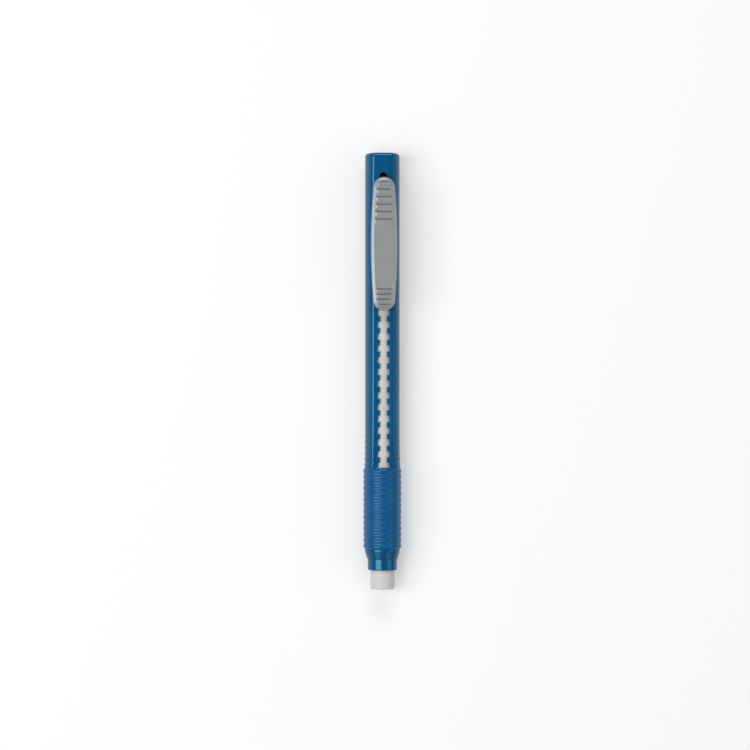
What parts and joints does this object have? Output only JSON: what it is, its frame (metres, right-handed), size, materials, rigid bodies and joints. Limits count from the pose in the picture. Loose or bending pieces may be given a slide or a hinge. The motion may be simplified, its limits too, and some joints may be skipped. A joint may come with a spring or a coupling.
{
  "type": "retractable eraser",
  "caption": "Hand-operated retractable eraser: slim tube with a notched slot, a sliding and latching pocket clip, a ribbed soft grip and a white eraser stick.",
  "frame": {"origin": "centre of the eraser stick's flat tip, on the barrel's axis, with the tip standing out as far as at rest", "axes": "+Y along the barrel from the tip to the tail, +Z out through the slot and clip, +X to the right when the clip is looked at with the tail upwards"},
  "size_m": [0.0106, 0.121, 0.0131],
  "materials": {
    "barrel_plastic": "deep translucent blue, glossy moulded",
    "grip_rubber": "soft satin blue",
    "clip_plastic": "satin grey moulded",
    "inner_plastic": "pale moulded",
    "spring_steel": "bright rolled strip",
    "eraser_vinyl": "matt white vinyl"
  },
  "bodies": {
    "barrel": {"barrel": "barrel_plastic", "end_plug": "barrel_plastic", "nose_cone": "barrel_plastic", "grip_sleeve": "grip_rubber"},
    "carriage": {"carriage": "inner_plastic", "eraser_holder": "inner_plastic", "latch_spring": "spring_steel"},
    "clip": {"clip": "clip_plastic"},
    "eraser": {"eraser_stick": "eraser_vinyl"}
  },
  "joints": [
    {"name": "eraser_slide", "type": "slide", "parent": "barrel", "child": "carriage", "axis": [0, 1, 0], "range_m": [-0.052, 0.0065]},
    {"name": "clip_rock", "type": "hinge", "parent": "carriage", "child": "clip", "pos_m": [0, 0.1, 0.0016], "axis": [-1, 0, 0], "range_deg": [0, 5], "stiffness_Nm_per_rad": 0.4, "springref_deg": -2.86, "deforming": ["latch_spring"]},
    {"name": "stick_pull", "type": "slide", "parent": "carriage", "child": "eraser", "axis": [0, 1, 0], "range_m": [-0.008, 0]}
  ]
}
